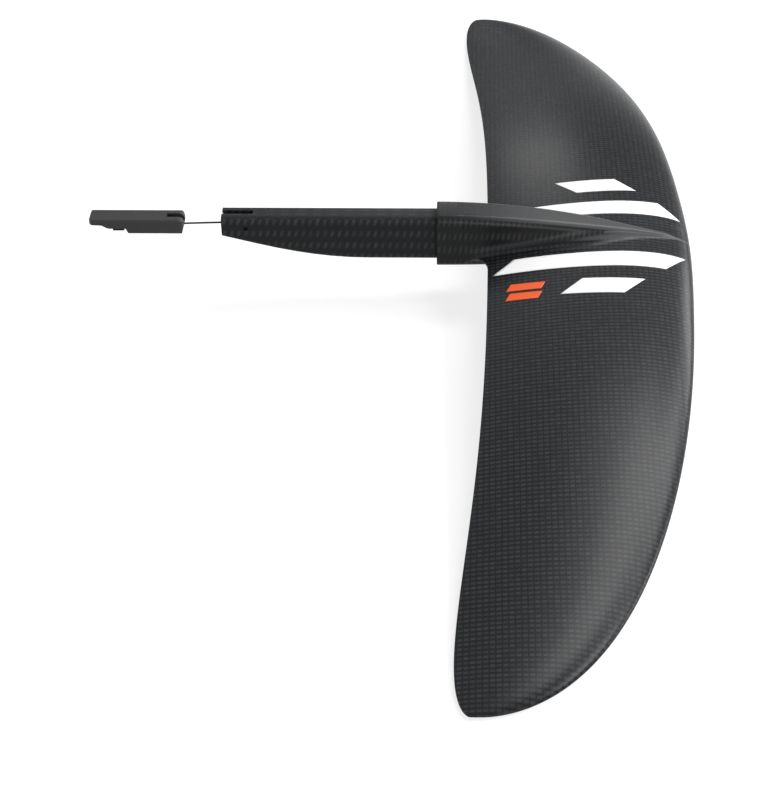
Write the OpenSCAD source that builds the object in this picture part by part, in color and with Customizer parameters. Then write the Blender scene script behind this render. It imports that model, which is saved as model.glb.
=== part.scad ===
// Front wing of a hydrofoil with a plug-in tongue, a tension cable and a lever.
// X points to the leading edge, Y to port, Z up. The origin is on the collar's
// rear face, at the centre of the tongue.

/* [Wing] */
// Full span, tip to tip
span = 741; // [500:1:1000]
// Chord at the middle of the wing
root_chord = 121.8; // [90:0.5:160]
// Height of the middle's chord line, below the tongue's centre
root_drop = 9; // [6:0.5:12]
// How far the tips hang below the middle
tip_droop = 30.5; // [0:0.5:60]
// Nose-down twist of the tips, in degrees
tip_twist = 0.7; // [0:0.1:4]
// Section thickness at the middle, as a share of the chord
root_thickness = 0.13; // [0.1:0.005:0.16]
// Section thickness at the tips, as a share of the chord
tip_thickness = 0.1; // [0.07:0.005:0.13]
// Height of the section's mean line, as a share of the chord
camber = 0.022; // [0:0.002:0.04]
// Thickness of the trailing edge
edge_thickness = 0.8; // [0.4:0.1:2]
// Thickness of each moulded skin
skin = 1.3; // [0.8:0.1:2]
// Glue line between bonded pieces
bond = 0.1; // [0.05:0.05:0.2]

/* [Collar and hump] */
// Width of the collar
collar_w = 22.8; // [20:0.2:30]
// Height of the collar
collar_h = 35.4; // [33:0.2:44]
// Radius of the collar's long edges
collar_r = 5.2; // [2:0.1:8]
// Length of collar that stands behind the trailing edge
collar_len = 30.7; // [20:0.1:50]
// How far the hump's tip stays behind the leading edge
hump_gap = 4.5; // [2:0.5:20]
// Radius of the fillet between the collar and the wing
root_fillet = 5; // [2:0.5:10]
// Fillet of the wing's rear edge into the collar, seen from above
rear_fillet = 4.5; // [2:0.5:8]
// Chamfer of the collar's rear edge
collar_chamfer = 0.45; // [0.2:0.05:1]

/* [Tongue] */
// Length of tongue behind the collar
tongue_len = 129.6; // [100:0.2:180]
// Width of the tongue
tongue_w = 15.5; // [13:0.1:17]
// Height of the tongue where it is full
tongue_h = 28.8; // [26:0.1:31]
// Radius of the tongue's long edges
tongue_r = 3.6; // [1:0.1:5]
// Height of the tongue's end
tail_h = 13.6; // [12:0.1:20]
// Length over which the underside rises
tail_run = 88; // [60:1:95]
// Wall of the tongue
tongue_wall = 2; // [1.2:0.1:3]
// Length of tongue inside the collar
tongue_in = 27; // [15:1:28]
// Length of the solid insert in the tail
insert_len = 30; // [24:1:40]

/* [Tension cable] */
// Distance from the tongue's end to the cross pin
pin_back = 14.6; // [10:0.1:20]
// Depth of the cross pin below the tongue's top
pin_drop = 6.8; // [5:0.1:8]
// Diameter of the cross pin
pin_d = 3; // [2:0.1:4]
// How far each end of the pin stands in from the tongue's side
pin_inset = 1.4; // [0.5:0.1:3]
// Width of the slots in the tongue and the lever
slot_w = 4; // [3:0.1:5]
// Length of the tongue's top slot
slot_len = 18.8; // [17:0.1:24]
// Diameter of the cable
cable_d = 1.2; // [0.8:0.1:2]
// Distance between the cross pin and the lever's barrel
cable_reach = 44; // [36:0.5:70]
// Slope of the cable, in degrees
cable_fall = 2; // [0:0.5:4]
// Running clearance of the turning pieces
run_gap = 0.05; // [0.02:0.01:0.1]

/* [Lever] */
// Length of the lever
lever_len = 57.5; // [45:0.5:80]
// Width of the lever
lever_w = 13.5; // [11:0.1:16]
// Depth of the lever at its hinge
lever_h = 9.6; // [8.5:0.1:12]
// Thickness of the finger tab
tab_h = 3.5; // [2:0.1:4]
// Length of the finger tab
tab_len = 6.5; // [4:0.5:12]
// Depth of the lever's middle step
step_h = 5.8; // [4.6:0.1:7]
// Length of the deep part
deep_len = 34; // [26:0.5:40]
// Distance from the lever's front end to its barrel
barrel_back = 6.4; // [5:0.1:8]
// Diameter of the barrel on the cable's end
barrel_d = 5; // [4:0.1:6]
// Length of the barrel
barrel_len = 9; // [7:0.1:10]
// Length of the lever's top slot
lever_slot = 10.6; // [10:0.1:14]
// Length of the rubber pad
pad_len = 7; // [4:0.1:8]
// Width of the rubber pad
pad_w = 10; // [6:0.1:12]
// How far the pad stands out
pad_out = 2.4; // [1:0.1:3]

/* [Hidden] */

half = span / 2;
nose_x = collar_len + root_chord;
pivot_x = collar_len + root_chord / 2;
hump_x = nose_x - hump_gap;
tail_x = -tongue_len;
// the edges in plan: [share of the root chord towards the rear, share of the half span]
front_edge = [[0, 0], [0, 0.212], [0.085, 0.203], [-0.04, 0.594], [0.417, 1], [1.054, 1]];
rear_edge = [[0, 0], [0, 0.592], [-0.059, 0.678], [-0.262, 0.985], [-0.078, 1], [-0.054, 1]];
// the droop along the half span, as shares of tip_droop
droop_line = [0, 0, 0, 0.55, 1, 1];
end_share = 0.9995;
chord_steps = 12;
spar_from = 4;
spar_to = 5;
core_end = 9;
hump_skin = skin + 0.2;
proud = 0.05;
parting = 0.05;
eye_r = 3;
eye_w = slot_w - 0.6;
shank_len = 9;
cable_from = 5;

// ---- curves ----
function bezier(c, t) = len(c) == 1 ? c[0]
    : bezier([for (i = [0 : len(c) - 2]) c[i] * (1 - t) + c[i + 1] * t], t);
function solve(c, v, lo = 0, hi = 1, n = 18) = let (mid = (lo + hi) / 2)
    n == 0 ? mid
    : bezier(c, mid)[1] < v ? solve(c, v, mid, hi, n - 1) : solve(c, v, lo, mid, n - 1);
function clamp(v) = max(0, min(1, v));

// ---- collar and hump: half width, top and bottom along X ----
function rise(x, power) = pow(clamp(x / hump_x), power);
function hump_half(x) = collar_w / 2 * (1 - 0.985 * rise(x, 2.8));
function hump_top(x) = collar_h / 2 - (collar_h / 2 + 1.9) * rise(x, 1.85);
function hump_bottom(x) = -collar_h / 2 + (collar_h / 2 - root_drop - 2) * rise(x, 1.7);

// ---- wing sections ----
function front_x(u) = nose_x - root_chord * bezier(front_edge, solve(front_edge, u))[0];
function rear_x(u) = collar_len + root_chord * bezier(rear_edge, solve(rear_edge, u))[0];
function chord_z(u, x) = -root_drop - tip_droop * bezier(droop_line, u)
    + (x - pivot_x) * tan(-tip_twist * u);
function half_thickness(s) = 5 * (0.2969 * sqrt(s) - 0.126 * s - 0.3516 * s * s
    + 0.2843 * pow(s, 3) - 0.1036 * pow(s, 4));
function mean_line(s) = s < 0.4 ? camber / 0.16 * (0.8 * s - s * s)
    : camber / 0.36 * (0.2 + 0.8 * s - s * s);
function share(j) = (1 - cos(180 * j / chord_steps)) / 2;
function inner_share(j) = share(0.5 + j * 0.9);
function local_chord(u) = front_x(u) - rear_x(u);
function thickness(u) = root_thickness + (tip_thickness - root_thickness) * u;
// height of the upper (side = 1) or lower (side = -1) surface over the chord line
function skin_height(u, s, side) = let (c = local_chord(u))
    c * (mean_line(s) + side * thickness(u) * half_thickness(s))
    + side * min(edge_thickness, c / 12) / 2 * max(s, 0.08);

// ---- span stations of the inner pieces: close together at the collar and towards the tips ----
root_stations = [0, collar_w * 0.3, collar_w * 0.42, collar_w * 0.5, collar_w / 2 + 1.3,
    collar_w / 2 + 2.8, collar_w / 2 + 4.8, collar_w / 2 + 8];
tip_steps = 13;
first_y = collar_w / 2 + 8;
half_stations = concat(root_stations,
    [for (k = [1 : tip_steps]) first_y + (half * end_share - first_y) * sin(90 * k / tip_steps)]);
last_half = len(half_stations) - 1;
stations = concat([for (k = [0 : last_half - 1]) -half_stations[last_half - k]], half_stations);

// ---- outer skin: rows from front to rear, columns from the middle to the tip ----
function smooth(v) = v * v * (3 - 2 * v);
function hollow(d, r) = d >= r ? 0 : r - sqrt(r * r - pow(r - max(0, d), 2));
function wing_x(y, s) = let (u = y / half)
    front_x(u) * (1 - s) + (rear_x(u) - hollow(y - collar_w / 2, rear_fillet)) * s;
function wing_z(y, s, side) = let (u = y / half)
    chord_z(u, wing_x(y, s)) + skin_height(u, s, side);

// across the root: flat top of the hump, rounded corner, wall, then the fillet down to the wing;
// heights are outwards, so they are turned over for the lower side
flat_cells = 2;
corner_cells = 4;
fillet_cells = 4;
column_gap = 0.04;
fade_x = hump_x - 14;
function root_path(s, side) = let (
        x = wing_x(collar_w / 6, s),
        wall = hump_half(x),
        level = side * wing_z(wall + 2, s, side),
        fade = smooth(clamp((x - fade_x) / (hump_x + 3 - fade_x))),
        reach = (side > 0 ? hump_top(x) : -hump_bottom(x)) * (1 - fade) + (level - 0.4) * fade,
        r = max(0.05, min(collar_r, wall * 0.95, (hump_top(x) - hump_bottom(x)) * 0.48)),
        f = max(0, min(root_fillet, (reach - level) * 0.8)),
        corner_y = wall - r,
        corner_z = reach - r,
        lift = level + f - corner_z,
        meets = lift < r + f,
        fillet_y = lift <= 0 ? wall + f : meets ? corner_y + sqrt(pow(r + f, 2) - lift * lift) : corner_y,
        stop = lift <= 0 ? 0 : meets ? atan2(lift, fillet_y - corner_y) : 90,
        path = concat(
            [for (k = [0 : flat_cells - 1]) [corner_y * k / flat_cells, reach]],
            [for (k = [0 : corner_cells]) let (a = 90 + (stop - 90) * k / corner_cells)
                [corner_y + r * cos(a), corner_z + r * sin(a)]],
            [for (k = [0 : fillet_cells]) let (a = stop + 180 + (90 - stop) * k / fillet_cells)
                [fillet_y + f * cos(a), level + f + f * sin(a)]]))
    [for (k = [0 : len(path) - 1]) let (
            y = max([for (i = [0 : k]) path[i][0] + column_gap * (k - i)]))
        [y, max(path[k][1], side * wing_z(y, s, side))]];

// distances outwards from the fillet
near_steps = [1.5, 4, 8, 14, 22, 32, 45];
far_steps = 13;
ease_reach = 60;
widest = collar_w / 2 + root_fillet;
steps = concat(near_steps, [for (k = [1 : far_steps])
    ease_reach + (half * end_share - widest - ease_reach) * sin(90 * (k - 1) / (far_steps - 1))]);

function half_row(s, side) = let (
        root = root_path(s, side),
        edge_y = root[len(root) - 1][0])
    concat(
        [for (p = root) [wing_x(p[0], s), p[0], side * p[1]]],
        [for (d = steps) let (
                y = d + widest + (edge_y - widest) * (1 - smooth(clamp(d / ease_reach))))
            [wing_x(y, s), y, wing_z(y, s, side)]]);

// ---- lofted blocks: top[i][j] over bottom[i][j] ----
module loft(top, bottom) {
    n = len(top);
    m = len(top[0]);
    points = concat([for (row = top) each row], [for (row = bottom) each row]);
    low = n * m;
    faces = concat(
        [for (i = [0 : n - 2], j = [0 : m - 2]) each [
            [i * m + j, i * m + j + 1, (i + 1) * m + j + 1],
            [i * m + j, (i + 1) * m + j + 1, (i + 1) * m + j],
            [low + i * m + j, low + (i + 1) * m + j + 1, low + i * m + j + 1],
            [low + i * m + j, low + (i + 1) * m + j, low + (i + 1) * m + j + 1]]],
        [for (i = [0 : n - 2]) each [
            [i * m, (i + 1) * m, low + (i + 1) * m],
            [i * m, low + (i + 1) * m, low + i * m],
            [i * m + m - 1, low + (i + 1) * m + m - 1, (i + 1) * m + m - 1],
            [i * m + m - 1, low + i * m + m - 1, low + (i + 1) * m + m - 1]]],
        [for (j = [0 : m - 2]) each [
            [j, low + j + 1, j + 1],
            [j, low + j, low + j + 1],
            [(n - 1) * m + j, (n - 1) * m + j + 1, low + (n - 1) * m + j + 1],
            [(n - 1) * m + j, low + (n - 1) * m + j + 1, low + (n - 1) * m + j]]]);
    polyhedron(points, faces, convexity = 6);
}

// outer half of the wing, between the chord surface and one face
module wing_half(side) {
    rows = [for (j = [0 : chord_steps]) half_row(share(j), side)];
    last = len(rows[0]) - 1;
    columns = concat(
        [for (k = [last : -1 : 1]) [for (row = rows) [row[k][0], -row[k][1], row[k][2]]]],
        [for (k = [0 : last]) [for (row = rows) row[k]]]);
    chord = [for (column = columns) [for (p = column)
        [p[0], p[1], chord_z(abs(p[1]) / half, p[0])]]];
    if (side > 0)
        loft(columns, chord);
    else
        loft(chord, columns);
}

// block inside the skins, from chord step j0 to j1 over the stations given
module inner_block(j0, j1, ys, inset) {
    function level(u, s, side) = skin_height(u, s, side) - side * (skin + inset);
    function at(y, j, side) = let (
            u = abs(y) / half,
            s = inner_share(j),
            edge = j == j0 ? -inset : j == j1 ? inset : 0,
            x = front_x(u) * (1 - s) + rear_x(u) * s)
        [x + edge, y, chord_z(u, x) + level(u, s, side)];
    loft([for (y = ys) [for (j = [j0 : j1]) at(y, j, 1)]],
        [for (y = ys) [for (j = [j0 : j1]) at(y, j, -1)]]);
}

// ---- rounded run along X: each section is [x, half width, top, bottom, radius] ----
function section_ring(s) = let (r = max(0.1, min(s[4], s[1] * 0.95, (s[2] - s[3]) * 0.48)))
    [for (q = [0 : 3], a = [0 : 22.5 : 90]) [s[0],
        (q == 0 || q == 3 ? 1 : -1) * (s[1] - r) + r * cos(90 * q + a),
        (q < 2 ? s[2] - r : s[3] + r) + r * sin(90 * q + a)]];

module ring_loft(rings) {
    n = len(rings[0]);
    last = (len(rings) - 1) * n;
    points = [for (ring = rings) each ring];
    faces = concat(
        [for (i = [0 : len(rings) - 2], k = [0 : n - 1]) let (a = i * n + k, b = i * n + (k + 1) % n)
            each [[a, b + n, b], [a, a + n, b + n]]],
        [[for (k = [0 : n - 1]) k]],
        [[for (k = [n - 1 : -1 : 0]) last + k]]);
    polyhedron(points, faces, convexity = 4);
}

// one loft through all sections
module rounded_run(sections) {
    ring_loft([for (s = sections) section_ring(s)]);
}

// the same run as a chain of convex bays
module rounded_bays(sections) {
    for (i = [0 : len(sections) - 2])
        hull()
            rounded_run([sections[i], sections[i + 1]]);
}

function hump_section(x, inset) = [x, hump_half(x) - inset, hump_top(x) - inset,
    hump_bottom(x) + inset, collar_r - inset];
hump_xs = [0, 8, 20, collar_len, 44, 58, 72, 86, 98, 110, 120, 129, 136.5, 142.5, 148];
hump_scale = hump_x / 148;
block_to = nose_x - root_chord * inner_share(spar_to) - 0.3;

// the collar, with its chamfered rear edge, up to where the wing's root rows take over
module collar() {
    root_x = collar_len - rear_fillet + 0.8;
    rounded_bays(concat([hump_section(0, collar_chamfer)],
        [for (k = [0 : 6]) hump_section(collar_chamfer + (root_x - collar_chamfer) * k / 6, -proud)],
        [hump_section(collar_len - 1, 0.6)]));
}

module hump_inside(from, to, inset) {
    mids = [for (x = hump_xs) if (x * hump_scale > from + 3 && x * hump_scale < to - 3) x * hump_scale];
    rounded_run([for (x = concat([from], mids, [to])) hump_section(x, inset)]);
}

// ---- tongue ----
tongue_top = tongue_h / 2;
function tongue_bottom(x) = let (v = clamp((x - tail_x) / tail_run))
    tongue_top - tongue_h + (tongue_h - tail_h) * bezier([1, 0.62, 0.18, 0, 0], v);
function tongue_section(x, inset) = [x, tongue_w / 2 - inset, tongue_top - inset,
    tongue_bottom(x) + inset, tongue_r - inset * 0.6];
tail_xs = [for (k = [0 : 8]) tail_x + tail_run * k / 8];

function tongue_sections(from, to, inset) = let (
        mids = [for (x = tail_xs) if (x > from + 2 && x < to - 2) x])
    [for (x = concat([from], mids, [to])) tongue_section(x, inset)];

// ---- cable layout ----
pin_x = tail_x + pin_back;
pin_z = tongue_top - pin_drop;
barrel_x = pin_x - cable_reach * cos(cable_fall);
barrel_z = pin_z - cable_reach * sin(cable_fall);
slot_floor = pin_z - eye_r - 0.4;

module across(x, z, d, length) {
    translate([x, 0, z])
        rotate([90, 0, 0])
            cylinder(h = length, d = d, center = true, $fn = 48);
}

module tail_slot() {
    translate([tail_x - 1, -slot_w / 2, slot_floor])
        cube([slot_len + 1, slot_w, tongue_h]);
}

// ---- wing pieces ----
module wing_cavity() {
    inner_block(1, core_end, [for (y = stations) if (abs(y) < half * 0.93) y], 0);
}

// room for the root block inside the collar and hump
module collar_bore() {
    hump_inside(-1, block_to + 0.2, hump_skin);
}

// the socket that the tongue is bonded into
module tongue_socket() {
    rounded_run([for (x = [-1, tongue_in + 0.2]) [x, tongue_w / 2 + bond, tongue_top + bond,
        -tongue_top - bond, tongue_r]]);
}

module skin_half(side) {
    difference() {
        union() {
            wing_half(side);
            intersection() {
                collar();
                translate([-1, -collar_w, -root_drop + side * parting - (side > 0 ? 0 : 2 * collar_h)])
                    cube([nose_x, collar_w * 2, collar_h * 2]);
            }
        }
        wing_cavity();
        collar_bore();
    }
}

module upper_skin() {
    color("#2b2d2f")
        skin_half(1);
}

module lower_skin() {
    color("#2b2d2f")
        skin_half(-1);
}

core_first = collar_w / 2 - skin - 0.2;
core_stations = concat([core_first],
    [for (y = half_stations) if (y > core_first + 1 && y < half * 0.93) y]);
port_stations = core_stations;
starboard_stations = [for (k = [len(core_stations) - 1 : -1 : 0]) -core_stations[k]];

module front_core_port() {
    color("#d8cfa8")
        inner_block(1, spar_from, port_stations, bond);
}

module front_core_starboard() {
    color("#d8cfa8")
        inner_block(1, spar_from, starboard_stations, bond);
}

module rear_core_port() {
    color("#d8cfa8")
        inner_block(spar_to, core_end, port_stations, bond);
}

module rear_core_starboard() {
    color("#d8cfa8")
        inner_block(spar_to, core_end, starboard_stations, bond);
}

module spar() {
    color("#1d1f20")
        inner_block(spar_from, spar_to, concat(
            [for (y = stations) if (abs(y) < half * 0.86) y]), bond);
}

module root_block() {
    color("#3a3c3e")
        difference() {
            hump_inside(0, block_to - 0.2, hump_skin + bond);
            tongue_socket();
        }
}

// ---- tongue pieces ----
module tongue_shell() {
    color("#242628")
        difference() {
            rounded_bays(tongue_sections(tail_x, tongue_in, 0));
            rounded_run(tongue_sections(tail_x - 1, tongue_in + 1, tongue_wall));
            tail_slot();
            across(pin_x, pin_z, pin_d + 0.04, tongue_w + 2);
        }
}

module tongue_core() {
    color("#d8cfa8")
        rounded_run(tongue_sections(tail_x + insert_len + 0.1, tongue_in, tongue_wall + bond));
}

module tail_insert() {
    color("#1b1c1d")
        difference() {
            rounded_run(tongue_sections(tail_x + 0.4, tail_x + insert_len, tongue_wall + bond));
            tail_slot();
            across(pin_x, pin_z, pin_d + 0.04, tongue_w + 2);
        }
}

module cross_pin() {
    color("#8c8f91")
        across(pin_x, pin_z, pin_d, tongue_w - 2 * pin_inset);
}

// ---- cable pieces ----
module along_cable() {
    translate([pin_x, 0, pin_z])
        rotate([0, -90 - cable_fall, 0])
            children();
}

module cable_eye() {
    color("#9a9da0")
        difference() {
            union() {
                across(pin_x, pin_z, eye_r * 2, eye_w);
                along_cable()
                    cylinder(h = shank_len, d = eye_w - 0.6, $fn = 32);
            }
            across(pin_x, pin_z, pin_d + 2 * run_gap, tongue_w);
            along_cable()
                translate([0, 0, cable_from])
                    cylinder(h = shank_len, d = cable_d, $fn = 24);
        }
}

module cable() {
    color("#141516")
        along_cable()
            translate([0, 0, cable_from])
                cylinder(h = cable_reach - cable_from, d = cable_d, $fn = 24);
}

module cable_barrel() {
    color("#9a9da0")
        difference() {
            across(barrel_x, barrel_z, barrel_d, barrel_len);
            along_cable()
                cylinder(h = cable_reach, d = cable_d, $fn = 24);
        }
}

// ---- lever ----
lever_front = barrel_x + barrel_back;
lever_back = lever_front - lever_len;
lever_top = barrel_z + 6;
lever_low = lever_top - lever_h;

function arc(cx, cz, r, from, to, n = 5) = [for (k = [0 : n])
    [cx + r * cos(from + (to - from) * k / n), cz + r * sin(from + (to - from) * k / n)]];

module lever_side() {
    step_x = lever_front - deep_len;
    mid_x = step_x - pad_len - 4;
    tab_x = lever_back + tab_len;
    polygon(concat(
        arc(lever_front - 3.6, lever_top - 3.6, 3.6, 90, 0),
        [[lever_front - 0.2, lever_top - 5.4]],
        arc(lever_front - 1.9, lever_low + 0.8, 0.8, 0, -90, 3),
        arc(step_x + 0.9, lever_low + 0.8, 0.8, -90, -180, 3),
        [[step_x - 1.2, lever_top - step_h], [mid_x, lever_top - step_h]],
        [[mid_x - 1.6, lever_top - step_h + 0.3], [tab_x + 1.5, lever_top - tab_h - 0.3],
            [tab_x - 0.6, lever_top - tab_h]],
        arc(lever_back + 0.9, lever_top - tab_h + 0.9, 0.9, -90, -180, 3),
        arc(lever_back + 1.2, lever_top - 1.2, 1.2, 180, 90, 4)));
}

module lever_blank() {
    intersection() {
        rotate([90, 0, 0])
            linear_extrude(lever_w, center = true)
                lever_side();
        translate([lever_back - 1, 0, 0])
            rotate([90, 0, 90])
                linear_extrude(lever_len + 2)
                    translate([0, (lever_top + lever_low) / 2])
                        rounded_rect(lever_w, lever_h, 1.5);
        translate([0, 0, lever_low - 1])
            linear_extrude(lever_h + 2)
                translate([(lever_front + lever_back) / 2, 0])
                    rounded_rect(lever_len, lever_w, 3.2);
    }
}

module rounded_rect(w, h, r) {
    polygon(concat(arc(w / 2 - r, h / 2 - r, r, 0, 90), arc(r - w / 2, h / 2 - r, r, 90, 180),
        arc(r - w / 2, r - h / 2, r, 180, 270), arc(w / 2 - r, r - h / 2, r, 270, 360)));
}

module pad_block(grow) {
    pad_x = lever_front - deep_len - 2.4 - pad_len;
    translate([pad_x - grow, -pad_w / 2 - grow, lever_top - step_h - pad_out])
        cube([pad_len + 2 * grow, pad_w + 2 * grow, pad_out + 1.2 + grow]);
}

module lever() {
    color("#47494b")
        difference() {
            lever_blank();
            translate([lever_front - lever_slot, -slot_w / 2, barrel_z - cable_d / 2 - 0.4])
                cube([lever_slot + 1, slot_w, lever_h]);
            across(barrel_x, barrel_z, barrel_d + 2 * run_gap, barrel_len + 0.2);
            translate([barrel_x - barrel_d / 2 - run_gap, -barrel_len / 2 - 0.1, lever_low - 1])
                cube([barrel_d + 2 * run_gap, barrel_len + 0.2, barrel_z - lever_low + 1]);
            pad_block(0.05);
        }
}

module latch_pad() {
    color("#0c0c0d")
        pad_block(0);
}

upper_skin();
lower_skin();
front_core_port();
front_core_starboard();
rear_core_port();
rear_core_starboard();
spar();
root_block();
tongue_shell();
tongue_core();
tail_insert();
cross_pin();
cable_eye();
cable();
cable_barrel();
lever();
latch_pad();
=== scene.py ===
import bpy, bmesh, math
from mathutils import Matrix, Vector
from mathutils.bvhtree import BVHTree


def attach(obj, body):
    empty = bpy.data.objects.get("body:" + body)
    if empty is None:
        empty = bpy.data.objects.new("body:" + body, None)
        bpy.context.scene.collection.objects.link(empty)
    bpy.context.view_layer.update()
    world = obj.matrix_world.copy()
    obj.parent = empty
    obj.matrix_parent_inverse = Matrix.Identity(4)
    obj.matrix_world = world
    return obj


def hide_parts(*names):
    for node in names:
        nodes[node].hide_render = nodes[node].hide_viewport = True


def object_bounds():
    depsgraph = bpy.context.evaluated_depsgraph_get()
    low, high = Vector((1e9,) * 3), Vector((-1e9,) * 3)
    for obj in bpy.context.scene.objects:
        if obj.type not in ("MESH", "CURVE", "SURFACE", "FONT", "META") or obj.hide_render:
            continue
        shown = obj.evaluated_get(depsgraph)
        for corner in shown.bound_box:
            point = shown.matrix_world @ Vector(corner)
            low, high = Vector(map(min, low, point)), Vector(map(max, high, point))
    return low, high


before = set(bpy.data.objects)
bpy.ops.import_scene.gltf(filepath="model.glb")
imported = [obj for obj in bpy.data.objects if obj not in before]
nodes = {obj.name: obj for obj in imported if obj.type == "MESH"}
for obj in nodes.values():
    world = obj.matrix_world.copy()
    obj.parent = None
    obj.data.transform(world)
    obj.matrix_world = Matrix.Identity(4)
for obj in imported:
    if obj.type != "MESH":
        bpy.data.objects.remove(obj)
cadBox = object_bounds()
mm = 0.001
weld = 1e-6  # metres
print("frame loaded:", len(nodes), "nodes")

# the photograph's frame, and where the object's edges and features show in it
photoW, photoH = 774, 800
imagePoints = {
    "leftEdge": (90.2, None),
    "rightEdge": (694.6, None),
    "topEdge": (None, 19.6),
    "bottomEdge": (None, 718.6),
    "collarTopCorner": (438.5, 201.8),
    "collarLowCorner": (437.0, 265.0),
    "tongueTail": (221.8, 221.6),
    "crossHole": (245.5, 228.8),
    "noseTip": (683.1, 241.0),
    "cableExit": (220.5, 221.6),
    "leverFront": (185.4, 221.7),
    "rearEdgeStarboard": (460.0, 596.0),
    "rearEdgePort": (473.4, 80.0),
    "longStripe": (588.9, 263.6),
    "shortStripe": (602.7, 285.7),
    "upperMark": (525.5, 286.0),
    "lowerMark": (524.0, 295.3),
    "longStripePortTip": (680.9, 222.3),
    "shortStripePortTip": (554.5, 183.3),
}

# the camera, solved from the wing's outline, the weave's pitch and the stripe corners
view = {
    "roll": 53.78, "yaw": 2.53, "spin": 0.45,  # degrees
    "place": (0.0260088, -1.0715709, 0.6596772),  # metres
    "lens": 93.44295, "sensor": 36,  # millimetres
    "clip": (0.05, 20),
}
longSide = max(photoW, photoH)


def cameraAxes():
    roll, yaw, spin = (math.radians(view[k]) for k in ("roll", "yaw", "spin"))
    back = Vector((math.sin(yaw), -math.sin(roll) * math.cos(yaw), math.cos(roll) * math.cos(yaw)))
    up = Vector((0, math.cos(roll), math.sin(roll)))
    right = up.cross(back).normalized()
    up = back.cross(right)
    side = right * math.cos(spin) + up * math.sin(spin)
    top = -right * math.sin(spin) + up * math.cos(spin)
    return side, top, back


rightward, upward, backward = cameraAxes()


def makeCamera():
    data = bpy.data.cameras.new("photoCamera")
    data.sensor_fit = "AUTO"
    data.sensor_width = view["sensor"]
    data.lens = view["lens"]
    data.clip_start, data.clip_end = view["clip"]
    made = bpy.data.objects.new("photoCamera", data)
    place = view["place"]
    made.matrix_world = Matrix((
        (rightward.x, upward.x, backward.x, place[0]),
        (rightward.y, upward.y, backward.y, place[1]),
        (rightward.z, upward.z, backward.z, place[2]),
        (0, 0, 0, 1)))
    bpy.context.scene.collection.objects.link(made)
    bpy.context.scene.camera = made
    return made


camera = makeCamera()
print("camera set")


def toPicture(p):
    v = Vector(p) - camera.matrix_world.translation
    scale = view["lens"] * longSide / view["sensor"] / -v.dot(backward)
    return photoW / 2 + scale * v.dot(rightward), photoH / 2 - scale * v.dot(upward)


def rayThrough(x, y):
    d = camera.data
    v = Vector((x - photoW / 2 + d.shift_x * longSide, photoH / 2 - y + d.shift_y * longSide,
                -longSide * d.lens / d.sensor_width))
    m = camera.matrix_world
    return m.translation.copy(), (m.to_3x3() @ v).normalized()


def surfaceTree(piece):
    mesh = bmesh.new()
    mesh.from_mesh(piece.data)
    tree = BVHTree.FromBMesh(mesh)
    mesh.free()
    return tree


search = {"from": 0.9, "step": 0.012, "count": 60}  # metres along a ray that misses, and how many tries


def placeOn(tree, x, y):
    # where the picture point (x, y) meets a surface, or the place on it nearest the ray
    start, way = rayThrough(x, y)
    hit = tree.ray_cast(start, way)[0]
    if hit is not None:
        return hit
    reach = [search["from"] + search["step"] * k for k in range(search["count"])]
    near = [tree.find_nearest(start + way * d) for d in reach]
    return min((n for n in near if n[0] is not None), key=lambda n: n[3])[0]


def blend(a, b, t):
    return a * (1 - t) + b * t


def clamp(v):
    return max(0.0, min(1.0, v))


def smooth(v):
    v = clamp(v)
    return v * v * (3 - 2 * v)


def bezier(c, t):
    # value of a Bezier curve with the control values c
    c = list(c)
    while len(c) > 1:
        c = [blend(c[i], c[i + 1], t) for i in range(len(c) - 1)]
    return c[0]


def nodeTree(material):
    material.use_nodes = True
    tree = material.node_tree
    tree.nodes.clear()
    out = tree.nodes.new("ShaderNodeOutputMaterial")
    shader = tree.nodes.new("ShaderNodeBsdfPrincipled")
    tree.links.new(shader.outputs[0], out.inputs[0])
    return tree, shader


def feed(tree, socket, v):
    # a socket takes a number, a colour or another node's output
    if isinstance(v, (int, float)):
        socket.default_value = v
    elif isinstance(v, tuple):
        socket.default_value = (*v, 1)
    else:
        tree.links.new(v, socket)


def calc(tree, kind, *values):
    # one step of arithmetic on numbers or on other nodes' outputs
    n = tree.nodes.new("ShaderNodeMath")
    n.operation = kind
    for socket, v in zip(n.inputs, values):
        feed(tree, socket, v)
    return n.outputs[0]


def mixColour(tree, factor, a, b):
    n = tree.nodes.new("ShaderNodeMix")
    n.data_type = "RGBA"
    for k, v in ((0, factor), (6, a), (7, b)):  # the colours go in at sockets 6 and 7
        feed(tree, n.inputs[k], v)
    return n.outputs[2]


def noise(tree, vector, scale, detail=3, rough=0.55):
    n = tree.nodes.new("ShaderNodeTexNoise")
    n.inputs["Scale"].default_value = scale
    n.inputs["Detail"].default_value = detail
    n.inputs["Roughness"].default_value = rough
    tree.links.new(vector, n.inputs["Vector"])
    return n.outputs[0]


def splitAxes(tree, vector):
    split = tree.nodes.new("ShaderNodeSeparateXYZ")
    tree.links.new(vector, split.inputs[0])
    return split.outputs


def ramp(tree, value, low, high):
    n = tree.nodes.new("ShaderNodeMapRange")
    n.interpolation_type = "SMOOTHSTEP"
    n.inputs["From Min"].default_value, n.inputs["From Max"].default_value = low, high
    tree.links.new(value, n.inputs["Value"])
    return n.outputs[0]


def fromMiddle(tree, value):
    return calc(tree, "SUBTRACT", value, 0.5)


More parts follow.
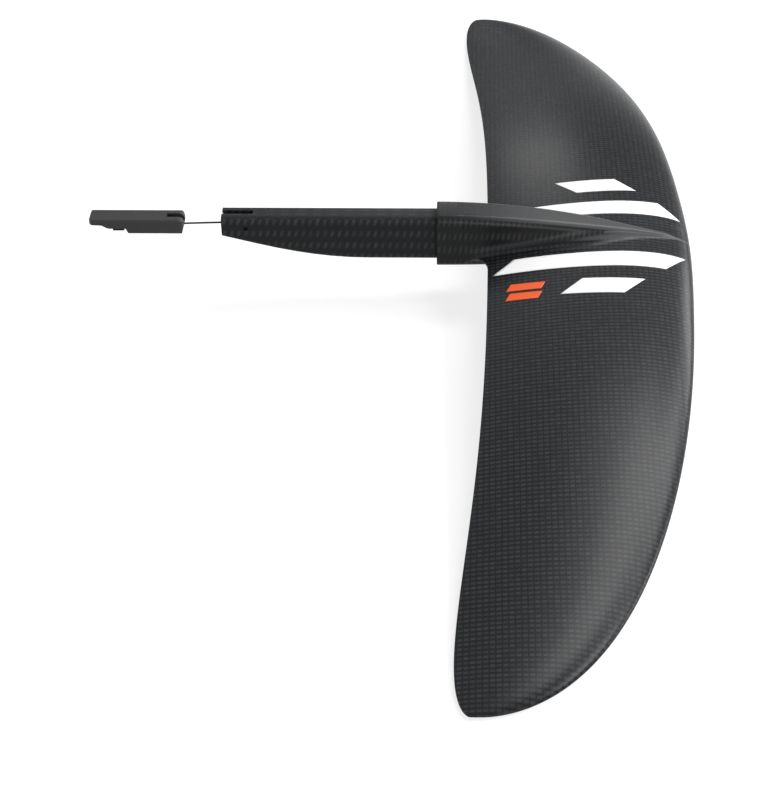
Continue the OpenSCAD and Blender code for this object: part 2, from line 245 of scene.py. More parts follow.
def towCrowns(tree, x, across, lay):
    # height of the tows' crowns: one crown in each cell of the cloth, leaning and a little uneven
    cellLong, cellTall = lay["cell"]
    v = calc(tree, "DIVIDE", across, cellTall)
    partV = fromMiddle(tree, calc(tree, "FRACT", v))
    lean = calc(tree, "MULTIPLY", partV, lay["lean"])
    u = calc(tree, "SUBTRACT", calc(tree, "DIVIDE", x, cellLong), lean)
    partU = fromMiddle(tree, calc(tree, "FRACT", u))
    cell = tree.nodes.new("ShaderNodeCombineXYZ")
    tree.links.new(calc(tree, "FLOOR", u), cell.inputs[0])
    tree.links.new(calc(tree, "FLOOR", v), cell.inputs[1])
    lot = tree.nodes.new("ShaderNodeTexWhiteNoise")
    lot.noise_dimensions = "2D"
    tree.links.new(cell.outputs[0], lot.inputs["Vector"])
    uneven = calc(tree, "ADD", 1 - lay["uneven"], calc(tree, "MULTIPLY", lot.outputs[0], lay["uneven"]))
    long, tall, soft = lay["crown"]
    inU = ramp(tree, calc(tree, "ABSOLUTE", partU), long / 2 + soft, long / 2 - soft)
    inV = ramp(tree, calc(tree, "ABSOLUTE", partV), tall / 2 + soft, tall / 2 - soft)
    crown = calc(tree, "MULTIPLY", inU, inV)
    return calc(tree, "MULTIPLY", crown, calc(tree, "MULTIPLY", uneven, lay["show"]))


def finishSurface(tree, shader, look, colour, grain, height):
    # the last steps of every finish: roughness that follows the grain, a bump and the gloss
    vary = calc(tree, "MULTIPLY", fromMiddle(tree, grain), look["vary"])
    bump = tree.nodes.new("ShaderNodeBump")
    bump.inputs["Strength"].default_value = look["bump"]
    bump.inputs["Distance"].default_value = look["depth"]
    tree.links.new(height, bump.inputs["Height"])
    tree.links.new(colour, shader.inputs["Base Color"])
    tree.links.new(calc(tree, "ADD", look["rough"], vary), shader.inputs["Roughness"])
    tree.links.new(bump.outputs[0], shader.inputs["Normal"])
    shader.inputs["Specular IOR Level"].default_value = look["specular"]


cloth = {  # what the three cloths share
    "wobble": 30, "cloud": 14, "hazeShare": 0.5, "rough": 0.28, "vary": 0.08, "specular": 1.0,
    "topFrom": 0.62, "topFull": 0.78,  # how far up it faces where side cloth gives way to top cloth
    # the hump's painted highlight is at full strength inside this share of its half width
    "paintedSheenSoft": 0.6,
}


def woven(name, look):
    # carbon cloth under satin lacquer: the crowns of the tows catch the light, row by row
    look = {**cloth, **look}
    material = bpy.data.materials.new(name)
    tree, shader = nodeTree(material)
    coord = tree.nodes.new("ShaderNodeTexCoord")
    place = coord.outputs["Object"]
    x, y, z = splitAxes(tree, place)
    out = calc(tree, "ABSOLUTE", y)
    wobble = noise(tree, place, look["wobble"], detail=2)
    drift = calc(tree, "MULTIPLY", fromMiddle(tree, wobble), look["drift"])
    x, y, z = (calc(tree, "ADD", c, drift) for c in (x, y, z))
    height = towCrowns(tree, x, y, look["flat"])
    if "side" in look:  # round a tube the cloth runs along z on the sides and along y on top
        facing = calc(tree, "ABSOLUTE", splitAxes(tree, coord.outputs["Normal"])[2])
        onTop = ramp(tree, facing, look["topFrom"], look["topFull"])
        beside = towCrowns(tree, x, z, look["side"])
        height = calc(tree, "ADD", calc(tree, "MULTIPLY", height, onTop),
                       calc(tree, "MULTIPLY", beside, calc(tree, "SUBTRACT", 1, onTop)))
    fibre = noise(tree, place, look["fibre"], detail=2, rough=0.6)
    cloud = noise(tree, place, look["cloud"])
    colour = mixColour(tree, height, look["deep"], look["crest"])
    if "paintedSheen" in look:  # painted highlight: the hump's back is painted lighter where it faces up, more so towards the nose, and its weave is lost there
        width = look["paintedSheenHalf"]
        paintedSheenMask = calc(tree, "MULTIPLY", onTop, ramp(tree, out, width, width * look["paintedSheenSoft"]))
        paintedSheenMask = calc(tree, "MULTIPLY", paintedSheenMask, ramp(tree, x, *look["paintedSheenFrom"]))
        colour = mixColour(tree, paintedSheenMask, colour, look["paintedSheen"])
    hazy = calc(tree, "MULTIPLY", calc(tree, "MULTIPLY", fibre, cloud), look["hazeShare"])
    colour = mixColour(tree, hazy, colour, look["haze"])
    finishSurface(tree, shader, look, colour, fibre, height)
    shader.inputs["IOR"].default_value = look["ior"]
    return material


mould = {"vary": 0.15, "depth": 0.0001, "metal": 0, "specular": 0.4}  # unless a finish says otherwise


def moulded(name, look):
    # painted, moulded or metal surface: fine grain, slight cloudiness
    look = {**mould, **look}
    material = bpy.data.materials.new(name)
    tree, shader = nodeTree(material)
    place = tree.nodes.new("ShaderNodeTexCoord").outputs["Object"]
    cloud = noise(tree, place, look["cloud"], detail=4)
    grain = noise(tree, place, look["grain"], detail=2)
    colour = mixColour(tree, cloud, look["dark"], look["light"])
    finishSurface(tree, shader, look, colour, grain, grain)
    shader.inputs["Metallic"].default_value = look["metal"]
    return material


# cells, drift and depth in metres; a crown's length, width and soft edge are shares of its cell
wingCloth = woven("wingCloth", {
    "flat": {"cell": (0.0032, 0.0031), "lean": 0.1, "crown": (0.76, 0.56, 0.16), "uneven": 0.45, "show": 1.0},
    "deep": (0.0045, 0.0055, 0.0065), "crest": (0.036, 0.0375, 0.040), "haze": (0.020, 0.021, 0.023),
    "drift": 0.0004, "fibre": 2500, "bump": 0.12, "depth": 0.0001, "ior": 1.155})
tongueCloth = woven("tongueCloth", {
    "flat": {"cell": (0.0096, 0.0046), "lean": 0.0, "crown": (0.55, 0.35, 0.14), "uneven": 0.5, "show": 0.45},
    "side": {"cell": (0.00433, 0.0080), "lean": 0.5, "crown": (0.36, 0.46, 0.15), "uneven": 0.5, "show": 1.0},
    "deep": (0.0205, 0.022, 0.0235), "crest": (0.066, 0.069, 0.068), "haze": (0.030, 0.031, 0.032),
    "drift": 0.0006, "fibre": 1800, "bump": 0.15, "depth": 0.0002, "ior": 1.12})
humpCloth = woven("humpCloth", {
    "flat": {"cell": (0.0032, 0.0031), "lean": 0.1, "crown": (0.72, 0.5, 0.16), "uneven": 0.45, "show": 0.35},
    "side": {"cell": (0.0032, 0.0093), "lean": 0.5, "crown": (0.36, 0.5, 0.15), "uneven": 0.5, "show": 1.0},
    "deep": (0.013, 0.014, 0.015), "crest": (0.050, 0.052, 0.051), "haze": (0.030, 0.031, 0.032),
    "drift": 0.0005, "fibre": 1800, "bump": 0.12, "depth": 0.0002, "ior": 1.155,
    # the hump's painted highlight: its colour, its half width, and the x in metres over which it grows
    "paintedSheen": (0.074, 0.075, 0.077), "paintedSheenHalf": 0.0145, "paintedSheenFrom": (0.0, 0.075)})
leverGrey = moulded("leverGrey", {
    "cloud": 60, "grain": 3000, "dark": (0.024, 0.024, 0.024), "light": (0.031, 0.031, 0.031),
    "rough": 0.5, "bump": 0.15, "specular": 0.3})
padRubber = moulded("padRubber", {
    "cloud": 80, "grain": 2500, "dark": (0.005, 0.005, 0.005), "light": (0.009, 0.009, 0.009),
    "rough": 0.75, "bump": 0.3, "specular": 0.2})
pinSteel = moulded("pinSteel", {
    "cloud": 90, "grain": 4000, "dark": (0.42, 0.42, 0.43), "light": (0.55, 0.55, 0.56),
    "rough": 0.3, "bump": 0.05, "metal": 1})
blackSteel = moulded("blackSteel", {
    "cloud": 90, "grain": 4000, "dark": (0.006, 0.006, 0.006), "light": (0.012, 0.012, 0.012),
    "rough": 0.45, "bump": 0.05, "specular": 0.15})
ropeBlack = moulded("ropeBlack", {
    "cloud": 200, "grain": 6000, "dark": (0.006, 0.006, 0.006), "light": (0.014, 0.014, 0.014),
    "rough": 0.6, "bump": 0.2, "specular": 0.1})
darkMoulding = moulded("darkMoulding", {
    "cloud": 70, "grain": 2500, "dark": (0.010, 0.010, 0.011), "light": (0.016, 0.016, 0.017),
    "rough": 0.55, "bump": 0.15})
coreFoam = moulded("coreFoam", {
    "cloud": 40, "grain": 1500, "dark": (0.62, 0.56, 0.40), "light": (0.70, 0.64, 0.48),
    "rough": 0.8, "bump": 0.4})
stripeWhite = moulded("stripeWhite", {
    "cloud": 40, "grain": 3000, "dark": (0.97, 0.97, 0.97), "light": (1.0, 1.0, 1.0),
    "rough": 0.4, "bump": 0.02, "specular": 0.3})
markOrange = moulded("markOrange", {
    "cloud": 40, "grain": 3000, "dark": (0.80, 0.10, 0.02), "light": (0.86, 0.12, 0.025),
    "rough": 0.4, "bump": 0.02, "specular": 0.3})
print("finishes made")


def linkMesh(name, mesh):
    # a bmesh becomes an object in the scene
    data = bpy.data.meshes.new(name)
    mesh.to_mesh(data)
    mesh.free()
    made = bpy.data.objects.new(name, data)
    bpy.context.scene.collection.objects.link(made)
    return made


def newPiece(name, mesh, body, materials, sharp=30):
    # a finished piece that rides on a body; edges sharper than sharp stay crisp
    for f in mesh.faces:
        f.smooth = True
    for e in mesh.edges:
        e.smooth = not (len(e.link_faces) == 2 and e.calc_face_angle(0) > math.radians(sharp))
    piece = linkMesh(name, mesh)
    for m in materials:
        piece.data.materials.append(m)
    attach(piece, body)
    return piece


wing = {  # millimetres and degrees, as in the part's source but with wider fillets at nose and rear
    "span": 741, "rootChord": 121.8, "rootDrop": 9, "tipDroop": 30.5, "tipTwist": 0.7,
    "rootThickness": 0.13, "tipThickness": 0.10, "camber": 0.022, "camberAt": 0.4,  # shares of the chord
    "section": (0.2969, -0.126, -0.3516, 0.2843, -0.1036),  # terms of the thickness curve
    "edge": 0.8, "edgeShare": 12, "edgeFrom": 0.08,  # rear edge, a twelfth of the chord at most
    # Bezier points: share of the root chord inwards from the root's own edge, and share of the half span
    "frontEdge": [(0, 0), (0, 0.212), (0.085, 0.203), (-0.04, 0.594), (0.417, 1), (1.054, 1)],
    "rearEdge": [(0, 0), (0, 0.592), (-0.059, 0.678), (-0.262, 0.985), (-0.078, 1), (-0.054, 1)],
    "droopLine": [0, 0, 0, 0.55, 1, 1],
    "collarWidth": 22.8, "collarHeight": 35.4, "collarRadius": 5.2, "collarLength": 30.7,
    "collarWall": 1.5, "collarChamfer": 0.45,
    "humpGap": 4.5, "humpTaper": 0.985, "taperPower": 2.8,
    "noseSink": 1.9, "topPower": 1.85, "noseKeel": 2, "lowPower": 1.7,  # the hump's top and underside
    "fadeLength": 14, "fadePast": 3, "fadeDip": 0.4,  # how the hump sinks into the wing at its nose
    "cornerWallShare": 0.95, "cornerTallShare": 0.48, "leastCorner": 0.05,
    "fillet": 5, "noseFillet": 12, "spreadFrom": 50, "spreadTo": 110, "filletShare": (0.8, 2.5),
    "rearFillet": 15, "rootRow": 4, "levelOut": 2, "rowGap": 0.04, "settleOver": 60,
    # how finely the skin is divided
    "chordCells": 88, "flatCells": 4, "cornerCells": 9, "filletCells": 8, "spanCells": 112,
    "nearSteps": [0.4, 1, 1.8, 2.8, 4, 5.6, 7.6, 10, 13, 17, 22, 28, 35, 43],  # out from the fillet
    "farFrom": 52, "tipShare": 0.9995,
}
half = wing["span"] / 2
noseX = wing["collarLength"] + wing["rootChord"]
pivotX = wing["collarLength"] + wing["rootChord"] / 2
humpX = noseX - wing["humpGap"]


def edgeShares(edge, count=600, halvings=26):
    # the edge's share of the root chord at count even steps of the half span
    shares, t = [], 0.0
    for k in range(count + 1):
        low, high = t, 1.0
        for _ in range(halvings):
            mid = (low + high) / 2
            if bezier([p[1] for p in edge], mid) < k / count:
                low = mid
            else:
                high = mid
        t = low
        shares.append(bezier([p[0] for p in edge], t))
    return shares


frontShares, rearShares = edgeShares(wing["frontEdge"]), edgeShares(wing["rearEdge"])


def along(shares, u):
    k = clamp(u) * (len(shares) - 1)
    i = min(int(k), len(shares) - 2)
    return blend(shares[i], shares[i + 1], k - i)


def frontX(u):
    return noseX - wing["rootChord"] * along(frontShares, u)


def rearX(u):
    return wing["collarLength"] + wing["rootChord"] * along(rearShares, u)


def rise(x, power):
    return clamp(x / humpX) ** power


def humpHalf(x):
    return wing["collarWidth"] / 2 * (1 - wing["humpTaper"] * rise(x, wing["taperPower"]))


def humpReach(x, side):
    # how far the hump stands out above (1) or below (-1) the tongue's centreline
    tall = wing["collarHeight"] / 2
    if side > 0:
        return tall - (tall + wing["noseSink"]) * rise(x, wing["topPower"])
    return tall - (tall - wing["rootDrop"] - wing["noseKeel"]) * rise(x, wing["lowPower"])


def chordHeight(u, x):
    droop = wing["tipDroop"] * bezier(wing["droopLine"], u)
    return -wing["rootDrop"] - droop + (x - pivotX) * math.tan(math.radians(-wing["tipTwist"] * u))


def skinHeight(u, s, side):
    # height of the skin over the chord line at share s of the chord
    chord = frontX(u) - rearX(u)
    p = wing["camberAt"]
    if s < p:
        mean = wing["camber"] / p ** 2 * (2 * p * s - s * s)
    else:
        mean = wing["camber"] / (1 - p) ** 2 * (1 - 2 * p + 2 * p * s - s * s)
    thick = blend(wing["rootThickness"], wing["tipThickness"], u)
    first, *rest = wing["section"]
    form = 5 * (first * math.sqrt(s) + sum(term * s ** k for k, term in enumerate(rest, 1)))
    edge = min(wing["edge"], chord / wing["edgeShare"]) / 2 * (max(s, wing["edgeFrom"]) if s > 0 else 0)
    return chord * (mean + side * thick * form) + side * edge


def plainWing(y, s, side):
    # (x, z) of the wing alone; the rear edge curves back into the collar
    u = y / half
    r, d = wing["rearFillet"], max(0.0, y - humpHalf(wing["collarLength"]))
    back = r - math.sqrt(r * r - (r - d) ** 2) if d < r else 0.0
    x = blend(frontX(u), rearX(u) - back, s)
    return x, chordHeight(u, x) + skinHeight(u, s, side)


def rootPath(s, side):
    # one row over the hump, its rounded corner, its wall and the fillet, out to the wing
    x = plainWing(wing["rootRow"], s, side)[0]
    wall, reach = humpHalf(x), humpReach(x, side)
    tall = humpReach(x, 1) + humpReach(x, -1)
    level = side * plainWing(wall + wing["levelOut"], s, side)[1]
    fadeFrom = humpX - wing["fadeLength"]
    fade = smooth((x - fadeFrom) / (humpX + wing["fadePast"] - fadeFrom))
    reach = blend(reach, level - wing["fadeDip"], fade)
    r = min(wing["collarRadius"], wall * wing["cornerWallShare"], tall * wing["cornerTallShare"])
    r = max(wing["leastCorner"], r)
    spread = clamp((x - wing["spreadFrom"]) / (wing["spreadTo"] - wing["spreadFrom"]))  # wider to the nose
    fillet = min(blend(wing["fillet"], wing["noseFillet"], spread),
                 (reach - level) * blend(*wing["filletShare"], spread))
    fillet = max(0.0, fillet)
    cornerY, cornerZ = wall - r, reach - r
    centreZ = level + fillet
    path = [(cornerY * k / wing["flatCells"], reach) for k in range(wing["flatCells"])]
    if centreZ <= cornerZ:
        centreY, stop = wall + fillet, 0.0
    elif centreZ - cornerZ < r + fillet:
        centreY = cornerY + math.sqrt((r + fillet) ** 2 - (centreZ - cornerZ) ** 2)
        stop = math.atan2(centreZ - cornerZ, centreY - cornerY)
    else:
        centreY, stop = cornerY, math.pi / 2
    n = wing["cornerCells"]
    for k in range(n + 1):
        a = blend(math.pi / 2, stop, k / n)
        path.append((cornerY + r * math.cos(a), cornerZ + r * math.sin(a)))
    n = wing["filletCells"]
    for k in range(n + 1):
        a = blend(stop + math.pi, math.pi * 1.5, k / n)
        path.append((centreY + fillet * math.cos(a), centreZ + fillet * math.sin(a)))
    low, out = -1.0, []
    for y, z in path:  # keeps rows apart and never under the wing
        low = y = max(y, low + wing["rowGap"])
        out.append((y, max(z, side * plainWing(y, s, side)[1])))
    return out


def wingSteps():
    # distances out from the fillet, close together at the root and the tip
    near, start = wing["nearSteps"], wing["farFrom"]
    n = wing["spanCells"] - len(near)
    length = half * wing["tipShare"] - wing["collarWidth"] / 2 - wing["fillet"] - start
    return near + [start + length * math.sin(math.pi / 2 * k / (n - 1)) for k in range(n)]


def rimEdges(mesh, verts):
    # open edges that run between the given points
    return [e for e in mesh.edges if len(e.link_faces) == 1 and e.verts[0] in verts and e.verts[1] in verts]


def makeWing():
    # one grid wrapped round the starboard half from rear edge to rear edge, then mirrored
    mesh = bmesh.new()
    chordCells, steps = wing["chordCells"], wingSteps()
    rootCells = wing["flatCells"] + wing["cornerCells"] + wing["filletCells"] + 1
    count = rootCells + len(steps)
    bmesh.ops.create_grid(mesh, x_segments=chordCells, y_segments=count, size=0.5)
    rows = {}
    for v in mesh.verts:
        i = round((v.co.x + 0.5) * chordCells)
        rows.setdefault(i, {})[round((v.co.y + 0.5) * count)] = v
    widest = wing["collarWidth"] / 2 + wing["fillet"]
    for i, row in rows.items():
        t = 2 * i / chordCells - 1
        side, s = (1 if t >= 0 else -1), (1 - math.cos(math.pi * abs(t))) / 2
        path = rootPath(s, side)
        for k, v in row.items():
            if k < len(path):
                y, z = path[k]
                v.co = (plainWing(y, s, side)[0], y, side * z)
            else:
                d = steps[k - len(path)]
                y = d + widest + (path[-1][0] - widest) * (1 - smooth(d / wing["settleOver"]))
                x, z = plainWing(y, s, side)
                v.co = (x, y, z)
    humpRows = rootCells - wing["filletCells"] // 2
    humpVerts = {row[k] for row in rows.values() for k in range(humpRows + 1)}
    for f in mesh.faces:
        f.material_index = 1 if humpVerts.issuperset(f.verts) else 0
    rearVerts = {v for i in (0, chordCells) for v in rows[i].values()}
    bmesh.ops.bridge_loops(mesh, edges=rimEdges(mesh, rearVerts))
    tipVerts = {row[count] for row in rows.values()}
    bmesh.ops.holes_fill(mesh, edges=rimEdges(mesh, tipVerts), sides=0)
    bmesh.ops.scale(mesh, vec=(mm, mm, mm), verts=mesh.verts)
    copy = bmesh.ops.duplicate(mesh, geom=mesh.verts[:] + mesh.edges[:] + mesh.faces[:])["geom"]
    bmesh.ops.scale(mesh, vec=(1, -1, 1), verts=[g for g in copy if isinstance(g, bmesh.types.BMVert)])
    bmesh.ops.reverse_faces(mesh, faces=[g for g in copy if isinstance(g, bmesh.types.BMFace)])
    bmesh.ops.remove_doubles(mesh, verts=[v for v in mesh.verts if abs(v.co.y) < weld], dist=weld)
    bmesh.ops.recalc_face_normals(mesh, faces=mesh.faces)
    return mesh


def loft(mesh, rings):
    # a circle shaped to the first ring, then extruded from ring to ring
    verts = bmesh.ops.create_circle(mesh, cap_ends=False, segments=len(rings[0]), radius=1)["verts"]
    verts.sort(key=lambda v: math.atan2(v.co.y, v.co.x) % (2 * math.pi))
    edges = mesh.edges[:]
    for i, ring in enumerate(rings):
        if i:
            grown = bmesh.ops.extrude_edge_only(mesh, edges=edges)["geom"]
            new = {g for g in grown if isinstance(g, bmesh.types.BMVert)}
            verts = [next(e.other_vert(v) for e in v.link_edges if e.other_vert(v) in new) for v in verts]
            edges = [g for g in grown if isinstance(g, bmesh.types.BMEdge) and new.issuperset(g.verts)]
        for v, p in zip(verts, ring):
            v.co = p


mouth = {  # millimetres: the collar's rear end, and how it runs on into the wing
    "depth": 4, "lip": 0.02, "chamferBelly": 0.3, "straight": (2, 6, 11, 15.75),
    "tucked": [(16.2, 0.06), (18.5, 1)],  # x, and how far inside the wing's skin
}


def collarRing(x, inset):
    # rounded outline of the collar at x, drawn in by inset
    wide = humpHalf(x) - inset
    top, low = humpReach(x, 1) - inset, -humpReach(x, -1) + inset
    r, n = wing["collarRadius"] - inset, wing["cornerCells"]
    ring = []
    for q in range(4):
        cy = (wide - r) * (1 if q in (0, 3) else -1)
        cz = (top - r) if q < 2 else (low + r)
        for k in range(n + 1):
            a = math.pi / 2 * (q + k / n)
            ring.append(Vector((x, cy + r * math.cos(a), cz + r * math.sin(a))) * mm)
    return ring


def makeCollar():
    # from inside the mouth, round the chamfered rear edge and forward into the wing
    mesh = bmesh.new()
    c, wall = wing["collarChamfer"], wing["collarWall"]
    belly = c * mouth["chamferBelly"]
    stations = [(mouth["depth"], wall), (mouth["lip"], wall), (0, wall), (0, (wall + c) / 2), (0, c)]
    stations += [(belly, belly), (c, 0)]
    stations += [(x, 0) for x in mouth["straight"]] + mouth["tucked"]
    loft(mesh, [collarRing(x, inset) for x, inset in stations])
    bmesh.ops.recalc_face_normals(mesh, faces=mesh.faces)
    return mesh


wingSkin = newPiece("wingSkin", makeWing(), "wing", [wingCloth, humpCloth], sharp=50)
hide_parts("upper_skin", "lower_skin")
collar = newPiece("collar", makeCollar(), "wing", [humpCloth], sharp=40)
print("wing made:", len(wingSkin.data.vertices), "points")

fittings = {  # CAD node: piece, body, finish, and the rounding of its edges in metres
    "tongue_shell": ("tongueTube", "wing", tongueCloth, 0.0002),
    "tail_insert": ("tailInsert", "wing", darkMoulding, 0),
    "root_block": ("rootBlock", "wing", humpCloth, 0),
    "cross_pin": ("crossPin", "wing", blackSteel, 0.00015),
    "cable_eye": ("cableEye", "pull_cable", pinSteel, 0.00015),
    "cable_barrel": ("cableBarrel", "pull_cable", pinSteel, 0.0002),
    "lever": ("leverBody", "lever", leverGrey, 0.00035),
    "latch_pad": ("latchPad", "lever", padRubber, 0.0003),
}
hidden = {  # CAD nodes that are right as they are, inside the wing and the tongue
    "tongue_core": coreFoam, "spar": darkMoulding,
    "front_core_port": coreFoam, "front_core_starboard": coreFoam,
    "rear_core_port": coreFoam, "rear_core_starboard": coreFoam,
}
rounding = {"flat": 0.4, "edge": 35, "segments": 2, "weight": 50}  # flat and edge in degrees


def dressNode(node, name, body, finish, width):
    # a merged copy of a CAD node, with its edges rounded, stands for the node
    mesh = bmesh.new()
    mesh.from_mesh(nodes[node].data)
    bmesh.ops.remove_doubles(mesh, verts=mesh.verts, dist=weld)
    flat = math.radians(rounding["flat"])
    bmesh.ops.dissolve_limit(mesh, angle_limit=flat, verts=mesh.verts, edges=mesh.edges)
    piece = newPiece(name, mesh, body, [finish])
    if width:
        mod = piece.modifiers.new("roundEdges", "BEVEL")
        mod.width, mod.segments, mod.limit_method = width, rounding["segments"], "ANGLE"
        mod.angle_limit, mod.profile, mod.material = math.radians(rounding["edge"]), 0.5, -1
    mod = piece.modifiers.new("flatFaces", "WEIGHTED_NORMAL")
    mod.keep_sharp, mod.weight = True, rounding["weight"]
    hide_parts(node)
    return piece


dressed = [wingSkin, collar] + [dressNode(node, *look) for node, look in fittings.items()]
for node, finish in hidden.items():
    nodes[node].data.materials.clear()
    nodes[node].data.materials.append(finish)

rope = {  # millimetres and degrees, along the cable from its cross pin
    "pin": (-115, 7.6), "fall": 2, "from": 5, "to": 44,
    "radius": 0.6, "strands": 3, "lay": 4.5, "groove": 0.28,
    "step": 0.3, "sides": 24,
}


def makeRope():
    # three strands laid round each other, inside the cable's own diameter
    mesh = bmesh.new()
    fall, rings = math.radians(rope["fall"]), []
    count = round((rope["to"] - rope["from"]) / rope["step"])
    for i in range(count + 1):
        d = blend(rope["from"], rope["to"], i / count)
        centre = Vector((rope["pin"][0] - d * math.cos(fall), 0, rope["pin"][1] - d * math.sin(fall)))
        ring = []
        for k in range(rope["sides"]):
            a = 2 * math.pi * k / rope["sides"]
            strand = abs(math.cos(rope["strands"] / 2 * (a - 2 * math.pi * d / rope["lay"])))
            r = rope["radius"] * (1 - rope["groove"] * (1 - strand))
            out = r * math.sin(a)
            offset = Vector((-out * math.sin(fall), r * math.cos(a), out * math.cos(fall)))
            ring.append((centre + offset) * mm)
        rings.append(ring)
    loft(mesh, rings)
    bmesh.ops.holes_fill(mesh, edges=mesh.edges, sides=0)
    bmesh.ops.recalc_face_normals(mesh, faces=mesh.faces)
    return mesh


cableRope = newPiece("cableRope", makeRope(), "pull_cable", [ropeBlack], sharp=60)
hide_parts("cable")
dressed.append(cableRope)
print("rope and fittings made:", len(fittings))

stripes = {  # a film's corners in plan, in millimetres from its middle
    "longStripe": [(-56.7, -1.4), (-44.0, 12.6), (57.7, 12.3), (45.0, -3.5)],
    "shortStripe": [(-24.6, -5.5), (-11.5, 8.7), (25.0, 7.2), (12.2, -7.2)],
    "upperMark": [(-11.6, -3.6), (-8.6, 3.4), (11.6, 2.2), (9.0, -4.4)],
    "lowerMark": [(-11.0, -3.6), (-8.2, 3.4), (10.6, 2.2), (8.0, -4.4)],
}
film = {"lift": 0.00006, "thick": 0.00004, "cells": (48, 8), "castFrom": 0.1}  # metres, but for cells


def layFilm(name, shape, finish, tree, port=False):
    # a thin film pressed onto the wing round its image point; the port ones mirror the starboard ones
    middle = placeOn(tree, *imagePoints[shape])
    mesh = bmesh.new()
    long, wide = film["cells"]
    bmesh.ops.create_grid(mesh, x_segments=long, y_segments=wide, size=0.5)
    a, b, c, d = (Vector(q) * mm for q in stripes[shape])
    for v in mesh.verts:
        u, w = v.co.x + 0.5, v.co.y + 0.5
        q = blend(blend(a, d, u), blend(b, c, u), w)
        above = Vector((middle.x + q.x, middle.y + q.y, film["castFrom"]))
        hit = tree.ray_cast(above, Vector((0, 0, -1)))
        v.co = hit[0] + hit[1] * film["lift"]
    if port:
        bmesh.ops.scale(mesh, vec=(1, -1, 1), verts=mesh.verts)
    bmesh.ops.recalc_face_normals(mesh, faces=mesh.faces)
    if sum(f.normal.z for f in mesh.faces) < 0:
        bmesh.ops.reverse_faces(mesh, faces=mesh.faces)
    piece = newPiece(name, mesh, "wing", [finish])
    mod = piece.modifiers.new("film", "SOLIDIFY")
    mod.thickness, mod.offset = film["thick"], 1
    return piece


wingTree = surfaceTree(wingSkin)
films = []
for shape in ("longStripe", "shortStripe"):
    films.append(layFilm(shape + "Starboard", shape, stripeWhite, wingTree))
    films.append(layFilm(shape + "Port", shape, stripeWhite, wingTree, port=True))
for shape in ("upperMark", "lowerMark"):  # plain bars where the photograph has lettering
    films.append(layFilm(shape, shape, markOrange, wingTree))
print("stripes laid:", len(films))

studio = {  # sizes and places in metres, greys and glows from 0 to 1
    "floorSize": 6, "floorGrey": 0.32, "floorRough": 0.9, "floorGloss": 0.1, "floorGlow": 0.8,
    "ambient": 0.1, "aim": (0.06, 0, 0),
    "flagSize": (3.4, 0.75), "flagAt": (0, 1.6, 0.42), "flagGrey": 0.02, "flagGlow": 0.12,
}
lamps = {  # degrees round from the nose and up from the floor, distance and size in metres, watts
    "keyBox": (52, 60, 1.9, (0.6, 0.6), 13.5),
    "highBox": (80, 60, 1.9, (0.4, 0.4), 2.5),
    "sideBox": (36, 45, 1.9, (0.6, 0.6), 11.5),
    "lowBox": (45, 20, 1.9, (0.7, 0.5), 9),
    "noseBox": (8, 12, 1.9, (0.6, 0.5), 9),
    "tipBox": (-3, 44, 1.9, (0.7, 0.6), 17),
    "backBox": (95, 21, 1.4, (0.2, 0.2), 0.5),
    "frontFill": (290, 13, 2.2, (1.8, 1.0), 21),
}


def grey(v):
    return v, v, v, 1


def seenDirectly(tree):
    # 1 for the camera and for what metal and glass reflect or let through, 0 for light on the object
    path = tree.nodes.new("ShaderNodeLightPath").outputs
    seen = calc(tree, "MAXIMUM", path["Is Camera Ray"], path["Is Glossy Ray"])
    return calc(tree, "MAXIMUM", seen, path["Is Transmission Ray"])


def makeFloor():
    mesh = bmesh.new()
    bmesh.ops.create_grid(mesh, x_segments=4, y_segments=4, size=studio["floorSize"])
    bmesh.ops.translate(mesh, vec=(0, 0, cadBox[0].z), verts=mesh.verts)
    floor = linkMesh("floor", mesh)
    material = bpy.data.materials.new("paleFloor")
    tree, shader = nodeTree(material)
    shader.inputs["Base Color"].default_value = grey(studio["floorGrey"])
    shader.inputs["Roughness"].default_value = studio["floorRough"]
    shader.inputs["Specular IOR Level"].default_value = studio["floorGloss"]
    shader.inputs["Emission Color"].default_value = grey(1)
    glow = calc(tree, "MULTIPLY", seenDirectly(tree), studio["floorGlow"])
    tree.links.new(glow, shader.inputs["Emission Strength"])
    # from below the floor is clear, so that the wing's underside can be looked at
    clear, mix = tree.nodes.new("ShaderNodeBsdfTransparent"), tree.nodes.new("ShaderNodeMixShader")
    tree.links.new(tree.nodes.new("ShaderNodeNewGeometry").outputs["Backfacing"], mix.inputs[0])
    tree.links.new(shader.outputs[0], mix.inputs[1])
    tree.links.new(clear.outputs[0], mix.inputs[2])
    tree.links.new(mix.outputs[0], next(n for n in tree.nodes if n.type == "OUTPUT_MATERIAL").inputs[0])
    floor.data.materials.append(material)


def makeWorld():
    world = bpy.data.worlds.new("studio")
    bpy.context.scene.world = world
    world.use_nodes = True
    tree = world.node_tree
    tree.nodes.clear()
    out = tree.nodes.new("ShaderNodeOutputWorld")
    glow = tree.nodes.new("ShaderNodeBackground")
    glow.inputs["Color"].default_value = grey(1)
    # seen directly or in a reflection it is white; as light it is softer
    whiter = calc(tree, "MULTIPLY", seenDirectly(tree), 1 - studio["ambient"])
    tree.links.new(calc(tree, "ADD", studio["ambient"], whiter), glow.inputs["Strength"])
    tree.links.new(glow.outputs[0], out.inputs[0])


def softBox(name, turn, height, distance, size, power):
    data = bpy.data.lights.new(name, "AREA")
    data.shape, data.size, data.size_y, data.energy = "RECTANGLE", size[0], size[1], power
    lamp = bpy.data.objects.new(name, data)
    turn, height = math.radians(turn), math.radians(height)
    way = Vector((math.cos(height) * math.cos(turn), math.cos(height) * math.sin(turn), math.sin(height)))
    lamp.location = Vector(studio["aim"]) + way * distance
    lamp.rotation_euler = way.to_track_quat("Z", "Y").to_euler()
    bpy.context.scene.collection.objects.link(lamp)


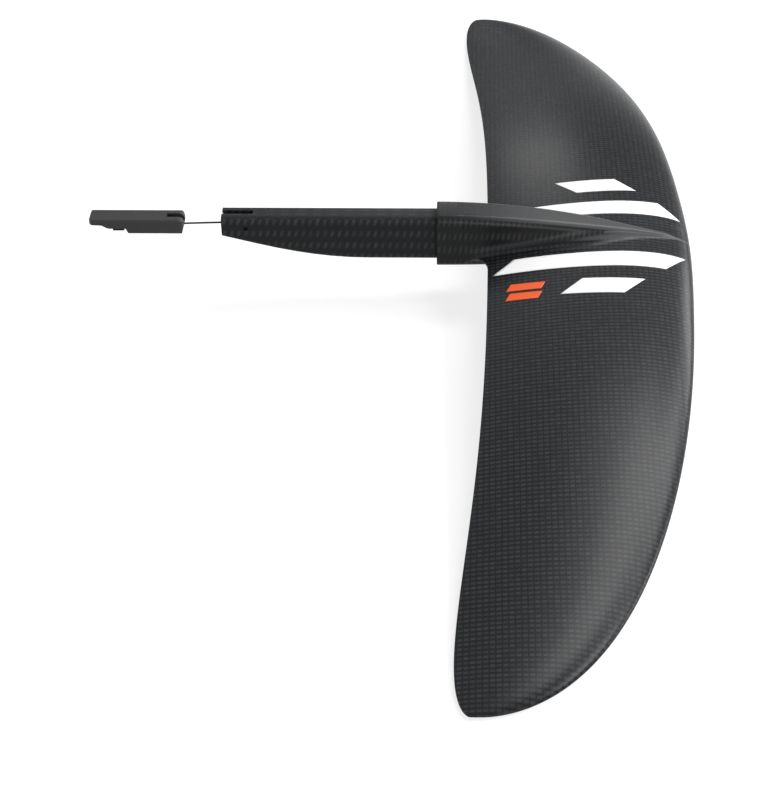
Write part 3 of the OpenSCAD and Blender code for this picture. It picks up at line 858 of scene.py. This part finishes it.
def makeFlag():
    # a grey card behind the wing, met by reflections only
    mesh = bmesh.new()
    bmesh.ops.create_grid(mesh, x_segments=1, y_segments=1, size=0.5)
    bmesh.ops.scale(mesh, vec=(*studio["flagSize"], 1), verts=mesh.verts)
    bmesh.ops.rotate(mesh, matrix=Matrix.Rotation(math.pi / 2, 3, "X"), verts=mesh.verts)
    bmesh.ops.translate(mesh, vec=studio["flagAt"], verts=mesh.verts)
    flag = linkMesh("greyFlag", mesh)
    material = bpy.data.materials.new("flagGrey")
    shader = nodeTree(material)[1]
    shader.inputs["Base Color"].default_value = grey(studio["flagGrey"])
    shader.inputs["Emission Color"].default_value = grey(1)
    shader.inputs["Emission Strength"].default_value = studio["flagGlow"]
    flag.data.materials.append(material)
    flag.visible_camera = flag.visible_shadow = flag.visible_diffuse = False


makeFloor()
makeWorld()
for name, lamp in lamps.items():
    softBox(name, *lamp)
makeFlag()
bpy.context.scene.view_settings.view_transform = "Standard"
print("studio set:", len(lamps), "lamps")


def finished(piece):
    # finished mesh of a piece: its points, and its faces by their points
    made = piece.evaluated_get(bpy.context.evaluated_depsgraph_get())
    data = made.to_mesh()
    points = [piece.matrix_world @ v.co for v in data.vertices]
    faces = [list(f.vertices) for f in data.polygons]
    made.to_mesh_clear()
    return points, faces


pick = {  # metres, and for rows the picture rows to either side
    "clear": 0.0004, "mouth": 0.001, "face": 0.0005, "hole": 0.0032, "side": -0.006, "rows": 2.5,
}


def shows(name):
    # picture places and part places of a piece's finished points that the camera sees
    eye, out = camera.matrix_world.translation, []
    for p in finishedMeshes[name][0]:
        way = (eye - p).normalized()
        if allTree.ray_cast(p + way * pick["clear"], way)[0] is None:
            out.append((*toPicture(p), p))
    return out or [(*toPicture(p), p) for p in finishedMeshes[name][0]]


def middle(spots):
    xs, ys = [q[0] for q in spots], [q[1] for q in spots]
    return (min(xs) + max(xs)) / 2, (min(ys) + max(ys)) / 2


finishedMeshes = {o.name: finished(o) for o in [*dressed, *films]}
allPoints, allFaces = [], []
for points, faces in finishedMeshes.values():
    first = len(allPoints)
    allPoints += points
    allFaces += [[i + first for i in f] for f in faces]
allTree = BVHTree.FromPolygons(allPoints, allFaces)
seen = {name: shows(name) for name in finishedMeshes}
